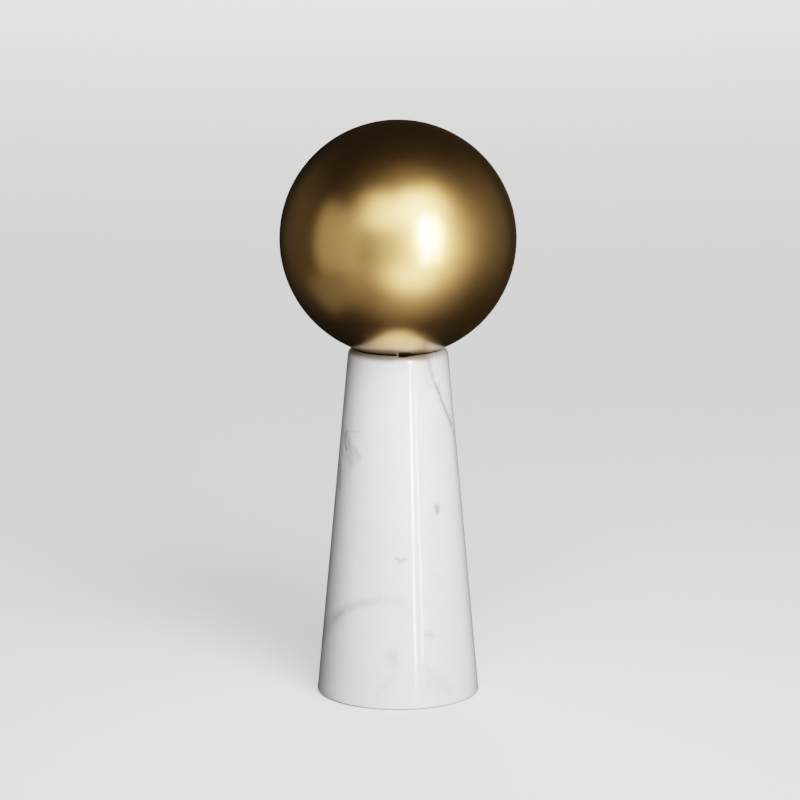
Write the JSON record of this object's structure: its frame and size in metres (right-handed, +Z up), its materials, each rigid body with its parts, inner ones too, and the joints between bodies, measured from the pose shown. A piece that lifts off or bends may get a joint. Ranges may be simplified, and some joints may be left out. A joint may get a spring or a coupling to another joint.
{
  "type": "marble cone ornament",
  "caption": "Tabletop ornament: a polished marble cone, widest at its flat foot, that carries a satin brass ball in a dished seat in its top.",
  "frame": {"origin": "centre of the cone's flat foot, on the surface that the ornament stands on", "axes": "+Z up along the turned axis of the cone and through the ball's centre; -Y is the front"},
  "size_m": [0.12, 0.12, 0.2957],
  "materials": {
    "marble": "polished, near white with soft grey veins",
    "satin_brass": "satin"
  },
  "bodies": {
    "root": {"marble_cone": "marble", "brass_ball": "satin_brass"}
  },
  "joints": []
}
